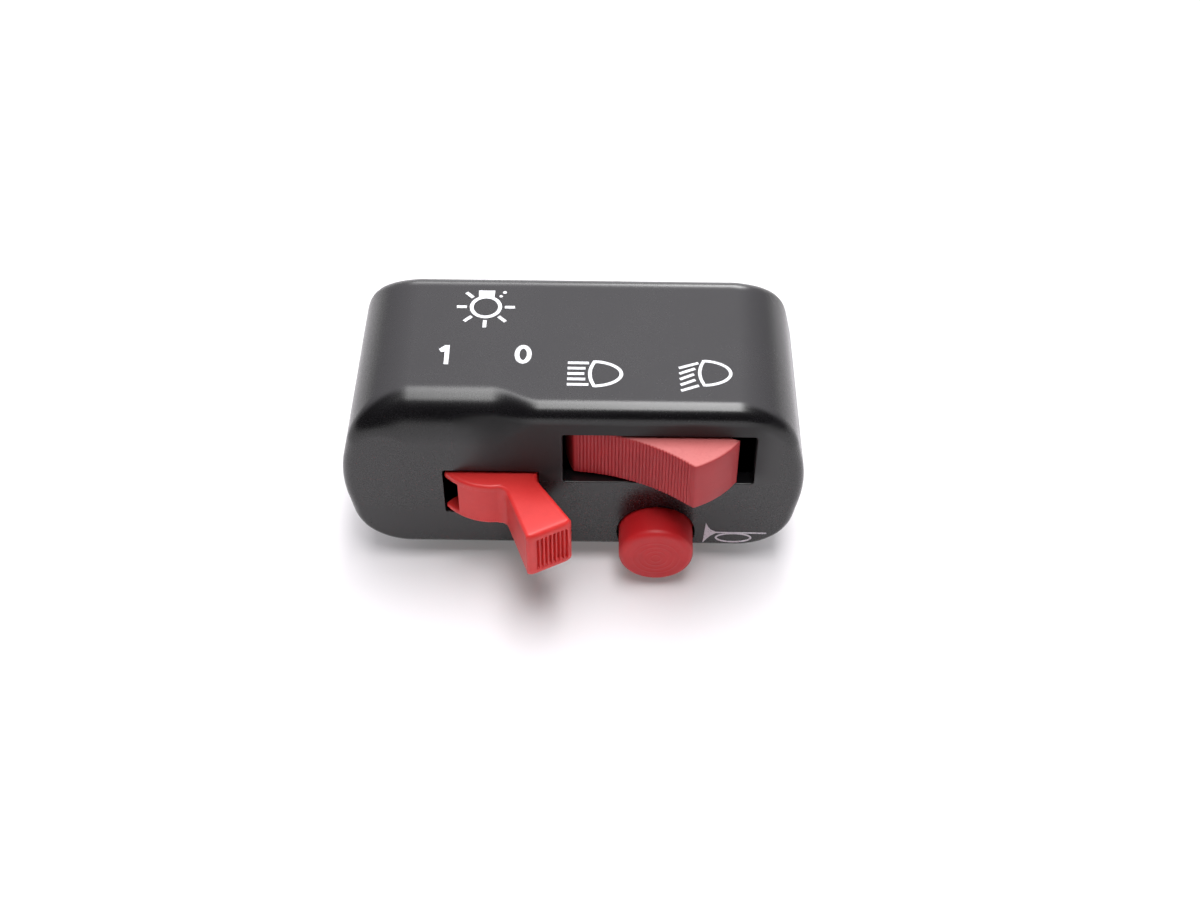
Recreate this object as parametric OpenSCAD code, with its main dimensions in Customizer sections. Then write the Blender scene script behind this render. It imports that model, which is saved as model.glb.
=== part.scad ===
// Handlebar switch block with a light lever, a dip rocker and a horn button.
// Millimetres, +Z up, front face towards -Y, origin midway between the two fixing screws on the rim plane.

/* [Housing] */
// Half width of the housing at its widest level
half_width = 32.3; // [31.9:0.1:33]
// Height of the housing from rim to top
height = 27.9; // [27.4:0.1:29]
// Depth from front face to rear face
depth = 27.9; // [27.3:0.1:29]
// Moulded wall thickness
wall = 2.2; // [1.8:0.1:2.3]
// Radius of the two upper corners
top_corner_r = 9.1; // [8:0.1:10]
// Radius of the two lower corners
low_corner_r = 8.2; // [7.8:0.1:8.6]
// How far the upper corners lean in from the widest level
top_lean = 1.0; // [0.6:0.1:1.4]
// How far the lower corners lean in from the widest level
low_lean = 0.7; // [0.5:0.1:0.9]
// Radius of the swell at the widest level
swell_r = 19.8; // [19:0.2:20]
// Level of the widest point above the rim
swell_z = 13.2; // [13:0.1:13.6]
// Roll of the top front edge over the rocker
front_roll = 2.6; // [2:0.1:3.5]
// Deeper roll of the top front edge over the lever
scoop_roll = 5.3; // [4.5:0.1:6]
// Middle of the change between the two rolls
scoop_end_x = -7.5; // [-9:0.1:-6]
// Width of that change
scoop_blend = 4; // [2:0.5:5]
// Roll of the top rear edge
rear_roll = 3.4; // [1:0.1:3.8]

/* [Fixing] */
// Half the distance between the two fixing screws
screw_half_pitch = 20; // [19.5:0.1:20.2]
// Depth of the fixing screws behind the front face
screw_depth = 20; // [19.8:0.1:20.4]
// Radius of the bosses round the threaded inserts
boss_r = 3.6; // [3.3:0.1:3.7]
// Radius outside the threaded inserts
insert_r = 2.6; // [2.4:0.1:2.8]
// Radius of the thread core in the inserts
thread_r = 1.65; // [1.6:0.05:1.7]
// Length of the inserts
insert_len = 7.5; // [6:0.5:9]

/* [Light lever] */
// Lever pivot, across
lever_x = -11.45; // [-11.8:0.05:-11.2]
// Lever pivot, behind the front face
lever_d = 6.3; // [6:0.1:6.5]
// Underside of the lever
lever_z = 7.4; // [7.3:0.1:7.6]
// Height of the lever
lever_h = 7.9; // [7.6:0.1:8]
// Radius of the curved shutter behind the grip
shutter_r = 8.8; // [8.6:0.1:8.9]
// Half angle of the shutter
shutter_half = 60; // [56:1:64]
// Half angle of the two plates that carry the shutter
plate_half = 75; // [68:1:78]
// Reach of the grip from the pivot
grip_reach = 18.4; // [17:0.1:19]
// Width of the grip at its end
grip_w = 6.9; // [5:0.1:7.5]
// Width of the grip where it leaves the shutter
grip_root_w = 4.6; // [4:0.1:6]
// Corner radius at the end of the grip
grip_corner_r = 0.9; // [0.5:0.1:1.5]
// Turn of the lever to either side
lever_turn = 28; // [25:1:29]

/* [Dip rocker] */
// Rocker pivot, across
rocker_x = 11.85; // [11.6:0.05:12.1]
// Rocker pivot, behind the front face
rocker_d = 7.3; // [7.1:0.1:7.5]
// Underside of the rocker
rocker_z = 14.25; // [14.1:0.05:14.4]
// Height of the rocker
rocker_h = 8.7; // [8.2:0.1:8.8]
// Radius of the rocker ends about the pivot
rocker_r = 13.2; // [12.8:0.1:13.3]
// Angle from the middle of the rocker to each peak
peak_angle = 42.4; // [41:0.1:44]
// Hollow of the rocker's thumb face
thumb_sag = 1.45; // [0.8:0.05:1.8]
// Turn of the rocker to either side
rocker_turn = 21.2; // [20:0.1:22]

/* [Horn button] */
// Button axis, across
button_x = 11.8; // [11.6:0.05:12]
// Button axis above the rim
button_z = 2.94; // [2.8:0.02:3.1]
// Radius of the button
button_r = 5.3; // [5.1:0.05:5.35]
// How far the button stands out of the front face
button_out = 4.85; // [4.4:0.05:5.2]
// Travel of the button
button_travel = 2.5; // [2:0.1:2.6]
// Radius of the button's rim
button_rim_r = 0.9; // [0.4:0.1:1.2]

/* [Clearances] */
// Gap round the moving controls in their openings
slot_gap = 0.45; // [0.4:0.05:0.5]
// Radial running clearance of a hub on its pin
run_gap = 0.05; // [0.03:0.01:0.1]
// Seat clearance of fixed pieces
seat_gap = 0.02; // [0.01:0.01:0.04]
// Gap between a wiper and the contact under it
wipe_gap = 0.05; // [0.03:0.01:0.1]

/* [Pieces] */
// Radius of the pivot pins
pin_r = 1.5; // [1.4:0.05:1.6]
// Thickness of the contact base plate
plate_t = 2.2; // [2:0.1:2.4]
// Drop of the plinth below the rim
plinth_drop = 4; // [3.8:0.1:4.5]
// Radius of the detent balls
ball_r = 1; // [0.9:0.05:1.05]
// Wire radius of the small springs
fine_wire_r = 0.15; // [0.12:0.01:0.18]
// Wire radius of the button spring
horn_wire_r = 0.25; // [0.2:0.01:0.3]
// Turns of the small springs
fine_turns = 3; // [2:1:3]
// Turns of the button spring
horn_turns = 5; // [4:1:6]

/* [Hidden] */
$fn = 64;
overrun = 1;
relief_gap = 0.35;
rocker_gap = 0.1;
ear_gap = 0.4;
shank_gap = 0.25;
edge_gap = 0.1;
low_cx = half_width - low_lean - low_corner_r;
mid_cx = half_width - swell_r;
top_cx = half_width - top_lean - top_corner_r;
roof_z = height - wall;
mouth_half = low_cx - 1;
rim_gap = 0.3;
hub_r = 3;
pin_bore_r = pin_r + seat_gap;
hub_bore_r = pin_r + run_gap;
boss_hole_r = boss_r + rim_gap;
step_gap = 0.45;
pin_foot_z = -0.5;
pin_sink = 1.8;
pin_bite = 0.9;
pin_end_gap = 0.1;
thread_run = 4;
tail_w = 4.4;
tail_reach = 8.8;
ball_y = tail_reach - 0.4;
rail_in_r = ball_y + ball_r + 0.35;
rail_out_r = rail_in_r + 1.3;
rail_half = 33;
rail_head = 1.8;
detent_notch_r = 0.7;
shelf_half = 5.5;
bar_y0 = 3.7;
bar_y1 = 7.9;
bar_w = 1.6;
bar_h = 1.5;
stud_pos_r = 4.4;
stud_r = 1;
strip_pos_r = 7;
strip_half_w = 0.8;
strip_run = 6;
contact_t = 0.6;
rod_r = 0.6;
tag_z = -plinth_drop + 1.4;
tag_half = 0.3;
tag_front = 0.5;
tag_back = 1.5;
bar_sink = step_gap - wipe_gap;
spring_y = (bar_y0 + bar_y1) / 2;
wiper_spring_r = 0.65;
wiper_spring_len = 2.9;
detent_spring_r = 0.6;
detent_level = 5.8;
detent_bore_y = 4.8;
button_gap = 0.35;
hole_r = button_r + button_gap;
ear_half = button_r + 1.2;
ear_t = 1.2;
ear_low = 0.6;
ear_top = 6.6;
ear_d = wall + run_gap;
bridge_d = ear_d + ear_t;
bridge_t = 0.5;
bridge_half = ear_half - 0.4;
spring_bore_r = 3.4;
spring_seat_d = -1;
channel_r = hole_r + 0.05;
channel_half = ear_half + relief_gap;
blade_d = bridge_d + bridge_t + button_travel + seat_gap;
blade_t = 0.5;
blade_half = 0.9;
stop_d = blade_d + blade_t + 2.3;
stop_t = 1.1;
leg_t = 2;
leg_in = channel_half + 0.2;
deck_z = rocker_z - step_gap - contact_t;
deck_t = 2.5;
deck_d0 = 4.5;
deck_d1 = 15.8;
leg_x0 = button_x - leg_in - leg_t;
leg_x1 = button_x + leg_in + leg_t;
floor_d0 = 4;
plinth_half = screw_half_pitch - boss_hole_r - edge_gap;
pocket_top = -1;
clip_x = 8.5;
clip_inset = 3.6;
clip_d = depth - wall - clip_inset;
clip_seat_z = -0.6;
clip_tip_z = 9;
pocket_d = 17.4;
pocket_half = 14.8;
clip_post_r = 2.3;
clip_shank_r = 0.95;
clip_head_r = 2.1;
clip_head_t = 1.6;
horn_spring_r = 2.7;
cut_over = 5;
small = 0.01;
blend_steps = 10;

function tangent_angle(a, b) =
    let (dx = b[0] - a[0], dz = b[1] - a[1], gap = sqrt(dx * dx + dz * dz))
    atan2(dz, dx) - acos(max(-1, min(1, (a[2] - b[2]) / gap)));
function rim_point(c, ang) = [c[0] + c[2] * cos(ang), c[1] + c[2] * sin(ang)];
function mirrored(p) = [-p[0], p[1]];
function blend_x(i) = scoop_end_x + scoop_blend * (i / blend_steps - 0.5);
function blend_roll(t) = scoop_roll + (front_roll - scoop_roll) * t * t * (3 - 2 * t);

// Outline seen from the front: three pairs of arcs and the lines that touch them, drawn in by inset.
module outline(inset = 0) {
    low = [low_cx, low_corner_r, low_corner_r - inset];
    mid = [mid_cx, swell_z, swell_r - inset];
    top = [top_cx, height - top_corner_r, top_corner_r - inset];
    a1 = tangent_angle(low, mid);
    a2 = tangent_angle(mid, top);
    right = [[low_cx, inset], rim_point(low, a1), rim_point(mid, a1), rim_point(mid, a2),
        rim_point(top, a2), [top_cx, height - inset]];
    left = [for (i = [5:-1:0]) mirrored(right[i])];
    polygon(concat(right, left));
    for (c = [low, top], s = [-1, 1])
        translate([s * c[0], c[1]])
            circle(c[2]);
    for (s = [-1, 1])
        intersection() {
            translate([s * mid[0], mid[1]])
                circle(mid[2]);
            translate([-half_width, right[2][1]])
                square([2 * half_width, right[3][1] - right[2][1]]);
        }
}

// Moves depth-from-front-face coordinates into the frame of the part.
module from_front() {
    translate([0, -screw_depth, 0])
        children();
}

module slab(x0, x1, d0, d1, z0, z1) {
    translate([x0, d0, z0])
        cube([x1 - x0, d1 - d0, z1 - z0]);
}

module post(x, d, z0, z1, r) {
    translate([x, d, z0])
        cylinder(h = z1 - z0, r = r);
}

module along_depth(x, z, d0, d1, r) {
    translate([x, d0, z])
        rotate([-90, 0, 0])
            cylinder(h = d1 - d0, r = r);
}

// Waste left over when an edge along X is rolled to radius r.
module edge_waste(r) {
    difference() {
        translate([-overrun, 0])
            square([r + overrun, r + overrun]);
        translate([r, 0])
            circle(r);
    }
}

module roll_cut(r, x0, x1) {
    translate([x0, 0, height - r])
        rotate([90, 0, 90])
            linear_extrude(x1 - x0)
                edge_waste(r);
}

module housing_body() {
    wide = half_width + cut_over;
    difference() {
        rotate([90, 0, 0])
            translate([0, 0, -depth])
                linear_extrude(depth)
                    outline();
        roll_cut(front_roll, -wide, wide);
        roll_cut(scoop_roll, -wide, scoop_end_x - scoop_blend / 2);
        for (i = [0:blend_steps - 1])
            roll_cut(blend_roll((i + 0.5) / blend_steps), blend_x(i) - small, blend_x(i + 1));
        translate([0, depth, 0])
            mirror([0, 1, 0])
                roll_cut(rear_roll, -wide, wide);
    }
}

module housing_cavity() {
    translate([0, depth - wall, 0])
        rotate([90, 0, 0])
            linear_extrude(depth - 2 * wall)
                outline(wall);
    slab(-mouth_half, mouth_half, wall, depth - wall, -overrun, low_corner_r);
}

module control_openings() {
    gap = slot_gap;
    lever_half = sqrt(pow(shutter_r, 2) - pow(lever_d, 2)) + gap;
    slab(lever_x - lever_half, lever_x + lever_half, -overrun, wall + overrun,
        lever_z - gap, lever_z + lever_h + gap);
    post(lever_x, lever_d, lever_z - gap, lever_z + lever_h + gap, shutter_r + relief_gap);
    slab(rocker_x - rocker_r - rocker_gap, rocker_x + rocker_r + rocker_gap, -overrun, wall + overrun,
        rocker_z - gap, rocker_z + rocker_h + gap);
    along_depth(button_x, button_z, -overrun, wall + overrun, hole_r);
}

module housing() {
    color("#232323")
        from_front()
            difference() {
                union() {
                    difference() {
                        housing_body();
                        housing_cavity();
                        control_openings();
                    }
                    for (s = [-1, 1]) {
                        post(s * screw_half_pitch, screw_depth, 0, roof_z + small, boss_r);
                        post(s * clip_x, clip_d, plate_t, roof_z + small, clip_post_r);
                    }
                    post(lever_x, lever_d, lever_z + lever_h + step_gap, roof_z + small, hub_r);
                    post(rocker_x, rocker_d, rocker_z + rocker_h + step_gap, roof_z + small, hub_r);
                }
                for (s = [-1, 1]) {
                    post(s * screw_half_pitch, screw_depth, -overrun, insert_len, insert_r);
                    post(s * screw_half_pitch, screw_depth, 0, insert_len + thread_run, thread_r + 0.4);
                    post(s * clip_x, clip_d, 0, clip_tip_z + 3, clip_shank_r);
                }
                post(lever_x, lever_d, lever_z, roof_z - 1, pin_bore_r);
                post(rocker_x, rocker_d, rocker_z, roof_z + pin_bite, pin_bore_r);
            }
}

module mounting_inserts() {
    color("#b8923f")
        from_front()
            for (s = [-1, 1])
                difference() {
                    post(s * screw_half_pitch, screw_depth, 0, insert_len, insert_r);
                    post(s * screw_half_pitch, screw_depth, -overrun, insert_len + overrun, thread_r);
                }
}

// Ring sector about the vertical axis, centred on +Y.
module rear_arc(r0, r1, half, z0, z1) {
    translate([0, 0, z0])
        rotate([0, 0, 90 - half])
            rotate_extrude(angle = 2 * half)
                translate([r0, 0])
                    square([r1 - r0, z1 - z0]);
}

module detent_rail(turn, bottom, level) {
    difference() {
        rear_arc(rail_in_r, rail_out_r, rail_half, bottom, level + rail_head);
        for (s = [-1, 1])
            rotate([0, 0, s * turn])
                translate([0, rail_in_r, bottom - 1])
                    cylinder(h = level - bottom + rail_head + 2, r = detent_notch_r);
    }
}

module button_channel() {
    along_depth(button_x, button_z, -overrun, stop_d, channel_r);
    slab(button_x - channel_half, button_x + channel_half, -overrun, stop_d,
        ear_low - ear_gap, deck_z - deck_t);
}

module base_solid() {
    low = -plinth_drop;
    slab(-mouth_half + rim_gap, mouth_half - rim_gap, wall + rim_gap, depth - wall - rim_gap, 0, plate_t);
    slab(-plinth_half, plinth_half, floor_d0, depth - wall - rim_gap, low, small);
    slab(plinth_half - small, leg_x1, floor_d0, stop_d + stop_t, low, small);
    slab(leg_x0 + small, leg_x1 - small, stop_d, stop_d + stop_t, low, button_z + button_r);
    for (x = [leg_x0, leg_x1 - leg_t])
        slab(x, x + leg_t, deck_d0, deck_d1, plate_t - small, deck_z);
    slab(leg_x0, leg_x1, deck_d0, deck_d1, deck_z - deck_t, deck_z);
    post(rocker_x, rocker_d, deck_z - small, rocker_z - bar_sink, hub_r - 0.2);
    translate([rocker_x, rocker_d, 0])
        detent_rail(rocker_turn, plate_t - small, rocker_z + detent_level);
    post(lever_x, lever_d, plate_t - small, lever_z - bar_sink, hub_r);
    slab(lever_x - shelf_half, lever_x + shelf_half, lever_d + hub_r - 1, lever_d + tail_reach,
        plate_t - small, lever_z - step_gap - contact_t);
    translate([lever_x, lever_d, 0])
        detent_rail(lever_turn, plate_t - small, lever_z + detent_level);
}

module contact_base() {
    color("#3a2a20")
        from_front()
            difference() {
                base_solid();
                button_channel();
                for (s = [-1, 1]) {
                    post(s * screw_half_pitch, screw_depth, -plinth_drop - overrun, plate_t + overrun,
                        boss_hole_r);
                    post(s * clip_x, clip_d, -plinth_drop - overrun, plate_t + overrun,
                        clip_shank_r + shank_gap);
                    post(s * clip_x, clip_d, -plinth_drop - 1, clip_seat_z, clip_head_r + rim_gap);
                    post(s * clip_x, clip_d, plate_t, roof_z, clip_post_r + rim_gap);
                }
                post(lever_x, lever_d, pin_foot_z, lever_z, pin_bore_r);
                post(rocker_x, rocker_d, deck_z - pin_sink, rocker_z, pin_bore_r);
                slab(-pocket_half, 1, stop_d - 0.2, pocket_d, -plinth_drop - 1, pocket_top);
                slab(0.5, pocket_half, stop_d + stop_t + rim_gap, pocket_d, -plinth_drop - 1, pocket_top);
                for (p = lever_rods())
                    post(p[0], p[1], pocket_top - 1, lever_z, rod_r + seat_gap);
                for (p = rocker_rods())
                    post(p[0], p[1], pocket_top - 1, rocker_z, rod_r + seat_gap);
                for (s = [-1, 1])
                    blade_shape(s, -plinth_drop - 1, seat_gap);
            }
}

function arm_point(x, d, r, ang) = [x - r * sin(ang), d + r * cos(ang)];
function lever_rods() = [arm_point(lever_x, lever_d, strip_pos_r, 0),
    arm_point(lever_x, lever_d, stud_pos_r, -lever_turn),
    arm_point(lever_x, lever_d, stud_pos_r, lever_turn)];
function rocker_rods() = [arm_point(rocker_x, rocker_d, strip_pos_r, 0),
    arm_point(rocker_x, rocker_d, stud_pos_r, -rocker_turn),
    arm_point(rocker_x, rocker_d, stud_pos_r, rocker_turn)];

module base_screws() {
    color("#9a9c9e")
        from_front()
            for (s = [-1, 1]) {
                post(s * clip_x, clip_d, clip_seat_z - small, clip_tip_z, clip_shank_r);
                difference() {
                    post(s * clip_x, clip_d, clip_seat_z - clip_head_t, clip_seat_z, clip_head_r);
                    slab(s * clip_x - 0.3, s * clip_x + 0.3, clip_d - 3, clip_d + 3,
                        clip_seat_z - clip_head_t - 1, clip_seat_z - clip_head_t + 0.7);
                }
            }
}

module lever_pivot_pin() {
    color("#a8aaad")
        from_front()
            post(lever_x, lever_d, pin_foot_z, roof_z - 1 - pin_end_gap, pin_r);
}

module rocker_pivot_pin() {
    color("#a8aaad")
        from_front()
            post(rocker_x, rocker_d, deck_z - pin_sink, roof_z + pin_bite - pin_end_gap, pin_r);
}

// Rod and solder tag under a contact.
module contact_tail(p, top) {
    post(p[0], p[1], tag_z, top, rod_r);
    slab(p[0] - tag_half, p[0] + tag_half, p[1] - tag_front, p[1] + tag_back, tag_z, pocket_top - 0.4);
}

module stud_contact(p, bottom) {
    color("#c09a48")
        from_front() {
            contact_tail(p, bottom - step_gap - contact_t + small);
            post(p[0], p[1], bottom - step_gap - contact_t, bottom - step_gap, stud_r);
        }
}

module strip_contact(x, d, p, turn, bottom) {
    color("#c09a48")
        from_front() {
            contact_tail(p, bottom - step_gap - contact_t + small);
            translate([x, d, 0])
                rear_arc(strip_pos_r - strip_half_w, strip_pos_r + strip_half_w, turn + strip_run,
                    bottom - step_gap - contact_t, bottom - step_gap);
        }
}

module light_feed_strip() {
    strip_contact(lever_x, lever_d, lever_rods()[0], lever_turn, lever_z);
}

module light_on_contact() {
    stud_contact(lever_rods()[1], lever_z);
}

module light_rest_contact() {
    stud_contact(lever_rods()[2], lever_z);
}

module dip_feed_strip() {
    strip_contact(rocker_x, rocker_d, rocker_rods()[0], rocker_turn, rocker_z);
}

module high_beam_contact() {
    stud_contact(rocker_rods()[1], rocker_z);
}

module low_beam_contact() {
    stud_contact(rocker_rods()[2], rocker_z);
}

module blade_shape(s, z0, grow) {
    x0 = button_x + s * (bridge_half - blade_half);
    slab(x0 - blade_half - grow, x0 + blade_half + grow, blade_d - grow, blade_d + blade_t + grow,
        z0, ear_top - 0.4);
}

module horn_feed_blade() {
    color("#c09a48")
        from_front()
            blade_shape(-1, tag_z, 0);
}

module horn_out_blade() {
    color("#c09a48")
        from_front()
            blade_shape(1, tag_z, 0);
}

// Tail arm behind a pivot, with its wiper pocket and detent bore.
module tail_arm(h) {
    translate([-tail_w / 2, 0, 0])
        cube([tail_w, tail_reach, h]);
}

module tail_pockets() {
    translate([-bar_w / 2 - run_gap, bar_y0 - run_gap, -1])
        cube([bar_w + 2 * run_gap, bar_y1 - bar_y0 + 2 * run_gap, bar_h - bar_sink + 1]);
    translate([0, spring_y, 0])
        cylinder(h = bar_h - bar_sink + wiper_spring_len, r = wiper_spring_r + fine_wire_r + 0.2);
    translate([0, detent_bore_y, detent_level])
        rotate([-90, 0, 0])
            cylinder(h = tail_reach, r = ball_r + run_gap);
}

module arm_hub_bore(h) {
    translate([0, 0, -1])
        cylinder(h = h + 2, r = hub_bore_r);
}

module front_sector(r, half, h) {
    span = (r + 1) * tan(half);
    linear_extrude(h)
        intersection() {
            circle(r);
            polygon([[0, 0], [-span, -r - 1], [span, -r - 1]]);
        }
}

module lever_place() {
    from_front()
        translate([lever_x, lever_d, lever_z])
            rotate([0, 0, lever_turn])
                children();
}

module rocker_place() {
    from_front()
        translate([rocker_x, rocker_d, rocker_z])
            rotate([0, 0, -rocker_turn])
                children();
}

module grip_plan() {
    c = grip_corner_r;
    root = [grip_root_w / 2, -shutter_r + 0.6, 0];
    tip = [grip_w / 2 - c, -grip_reach + c, c];
    right = [[tip[0], -grip_reach], rim_point(tip, tangent_angle(tip, root)), [root[0], root[1]]];
    left = [for (i = [2:-1:0]) mirrored(right[i])];
    polygon(concat(right, left));
    for (s = [-1, 1])
        translate([s * tip[0], tip[1]])
            circle(c);
}

module light_lever() {
    skin = 1.2;
    color("#b01c1c")
        lever_place()
            difference() {
                union() {
                    cylinder(h = lever_h, r = hub_r);
                    tail_arm(lever_h);
                    difference() {
                        front_sector(shutter_r, shutter_half, lever_h);
                        translate([0, 0, skin])
                            cylinder(h = lever_h - 2 * skin, r = shutter_r - skin);
                    }
                    for (z = [0, lever_h - skin])
                        translate([0, 0, z])
                            front_sector(shutter_r, plate_half, skin);
                    translate([-skin, -shutter_r + 0.5, 0])
                        cube([2 * skin, shutter_r, lever_h]);
                    linear_extrude(lever_h)
                        grip_plan();
                }
                tail_pockets();
                arm_hub_bore(lever_h);
            }
}

module rocker_plan() {
    px = rocker_r * sin(peak_angle);
    py = rocker_r * cos(peak_angle);
    bow = (px * px + thumb_sag * thumb_sag) / (2 * thumb_sag);
    difference() {
        intersection() {
            circle(rocker_r);
            translate([-rocker_r - 1, -rocker_r - 1])
                square([2 * rocker_r + 2, rocker_r - 2]);
        }
        translate([0, -py + thumb_sag - bow])
            circle(bow, $fn = 128);
    }
    translate([-hub_r, -hub_r - 1])
        square([2 * hub_r, hub_r + 1]);
}

module dip_rocker() {
    color("#a81e1e")
        rocker_place()
            difference() {
                union() {
                    linear_extrude(rocker_h)
                        rocker_plan();
                    cylinder(h = rocker_h, r = hub_r);
                    tail_arm(rocker_h);
                }
                tail_pockets();
                arm_hub_bore(rocker_h);
            }
}

module wiper_bar() {
    translate([-bar_w / 2, bar_y0, -bar_sink])
        cube([bar_w, bar_y1 - bar_y0, bar_h]);
}

module detent_ball() {
    translate([0, ball_y, detent_level])
        sphere(ball_r);
}

// One tube carried along a helix about +Z from level 0.
module coil(mean_r, wire_r, length, turns) {
    steps = turns * 14;
    sides = 6;
    rise = length - 2 * wire_r;
    pts = [for (i = [0:steps], j = [0:sides - 1])
        let (t = i / steps, a = 360 * turns * t, b = 360 * j / sides)
        [(mean_r + wire_r * cos(b)) * cos(a), (mean_r + wire_r * cos(b)) * sin(a),
            wire_r + rise * t + wire_r * sin(b)]];
    walls = [for (i = [0:steps - 1], j = [0:sides - 1])
        let (a = i * sides + j, b = i * sides + (j + 1) % sides)
        each [[a, b, b + sides], [a, b + sides, a + sides]]];
    cap0 = [for (j = [0:sides - 1]) sides - 1 - j];
    cap1 = [for (j = [0:sides - 1]) steps * sides + j];
    echo(coil_gap = rise / turns - 2 * wire_r);
    polyhedron(pts, concat([cap0], walls, [cap1]), convexity = 8);
}

module wiper_coil() {
    translate([0, spring_y, bar_h - bar_sink])
        coil(wiper_spring_r, fine_wire_r, wiper_spring_len, fine_turns);
}

module detent_coil() {
    translate([0, detent_bore_y, detent_level])
        rotate([-90, 0, 0])
            coil(detent_spring_r, fine_wire_r, ball_y - ball_r - detent_bore_y, fine_turns);
}

module lever_wiper() {
    color("#c9a95a")
        lever_place()
            wiper_bar();
}

module lever_wiper_spring() {
    color("#8d9094")
        lever_place()
            wiper_coil();
}

module lever_detent_ball() {
    color("#c4c6c8")
        lever_place()
            detent_ball();
}

module lever_detent_spring() {
    color("#8d9094")
        lever_place()
            detent_coil();
}

module rocker_wiper() {
    color("#c9a95a")
        rocker_place()
            wiper_bar();
}

module rocker_wiper_spring() {
    color("#8d9094")
        rocker_place()
            wiper_coil();
}

module rocker_detent_ball() {
    color("#c4c6c8")
        rocker_place()
            detent_ball();
}

module rocker_detent_spring() {
    color("#8d9094")
        rocker_place()
            detent_coil();
}

module horn_button() {
    color("#a51d1d")
        from_front()
            difference() {
                union() {
                    along_depth(button_x, button_z, button_rim_r - button_out, ear_d + small, button_r);
                    along_depth(button_x, button_z, -button_out, 0, button_r - button_rim_r);
                    translate([button_x, button_rim_r - button_out, button_z])
                        rotate([-90, 0, 0])
                            rotate_extrude()
                                translate([button_r - button_rim_r, 0])
                                    circle(button_rim_r);
                    slab(button_x - ear_half, button_x + ear_half, ear_d, ear_d + ear_t, ear_low, ear_top);
                }
                along_depth(button_x, button_z, spring_seat_d, ear_d + ear_t + overrun, spring_bore_r);
            }
}

module horn_bridge() {
    color("#c9a95a")
        from_front()
            difference() {
                slab(button_x - bridge_half, button_x + bridge_half, bridge_d, bridge_d + bridge_t,
                    ear_low + 0.3, ear_top - 0.3);
                along_depth(button_x, button_z, 0, bridge_d + 2, spring_bore_r - 0.2);
            }
}

module horn_return_spring() {
    color("#8d9094")
        from_front()
            translate([button_x, spring_seat_d, button_z])
                rotate([-90, 0, 0])
                    coil(horn_spring_r, horn_wire_r, stop_d - spring_seat_d, horn_turns);
}

housing();
mounting_inserts();
contact_base();
base_screws();
lever_pivot_pin();
rocker_pivot_pin();
light_feed_strip();
light_on_contact();
light_rest_contact();
dip_feed_strip();
high_beam_contact();
low_beam_contact();
horn_feed_blade();
horn_out_blade();
light_lever();
lever_wiper();
lever_wiper_spring();
lever_detent_ball();
lever_detent_spring();
dip_rocker();
rocker_wiper();
rocker_wiper_spring();
rocker_detent_ball();
rocker_detent_spring();
horn_button();
horn_bridge();
horn_return_spring();
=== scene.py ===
import math

import bmesh
import bpy
import numpy as np
from mathutils import Matrix, Vector
from mathutils.geometry import delaunay_2d_cdt


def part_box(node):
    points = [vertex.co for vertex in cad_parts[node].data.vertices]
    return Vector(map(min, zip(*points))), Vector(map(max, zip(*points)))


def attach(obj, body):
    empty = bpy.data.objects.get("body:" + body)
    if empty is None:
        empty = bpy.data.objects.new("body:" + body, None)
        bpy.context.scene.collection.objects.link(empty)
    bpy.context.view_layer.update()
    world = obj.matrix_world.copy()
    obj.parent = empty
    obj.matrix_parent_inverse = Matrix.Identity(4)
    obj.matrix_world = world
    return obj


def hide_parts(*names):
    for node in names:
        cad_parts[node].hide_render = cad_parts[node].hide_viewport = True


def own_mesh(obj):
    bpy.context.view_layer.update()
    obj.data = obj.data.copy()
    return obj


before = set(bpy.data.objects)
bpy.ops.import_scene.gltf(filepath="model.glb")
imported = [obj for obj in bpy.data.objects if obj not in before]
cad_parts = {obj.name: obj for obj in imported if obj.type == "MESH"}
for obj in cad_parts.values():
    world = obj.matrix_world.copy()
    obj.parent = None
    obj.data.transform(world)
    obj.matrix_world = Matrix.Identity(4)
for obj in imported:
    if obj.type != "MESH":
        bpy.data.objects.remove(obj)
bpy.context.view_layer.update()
mm = 0.001
originDepth = 20.0  # the frame's y = 0 lies this far behind the front face
weld, sliver = 2e-6, 1e-7  # metres: points closer than the first are joined, edges under the second go
largeFaceWeight = 80  # how much large faces pull the shading normals


# shapes are in millimetres: x across, d behind the front face, z up
def gridFaces(nu, nv, closeU=False, closeV=False):
    # quads of a grid of nu by nv points, rows along u
    iu = np.arange(nu if closeU else nu - 1)
    jv = np.arange(nv if closeV else nv - 1)
    a, b = np.meshgrid(iu, jv, indexing="ij")
    a2, b2 = (a + 1) % nu, (b + 1) % nv
    return np.stack([a * nv + b, a2 * nv + b, a2 * nv + b2, a * nv + b2], axis=-1).reshape(-1, 4)


def surface(points, closeU=False, closeV=False):
    # points of a grid as one list, with the grid's quads
    nu, nv = points.shape[:2]
    return points.reshape(-1, 3), gridFaces(nu, nv, closeU, closeV)


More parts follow.
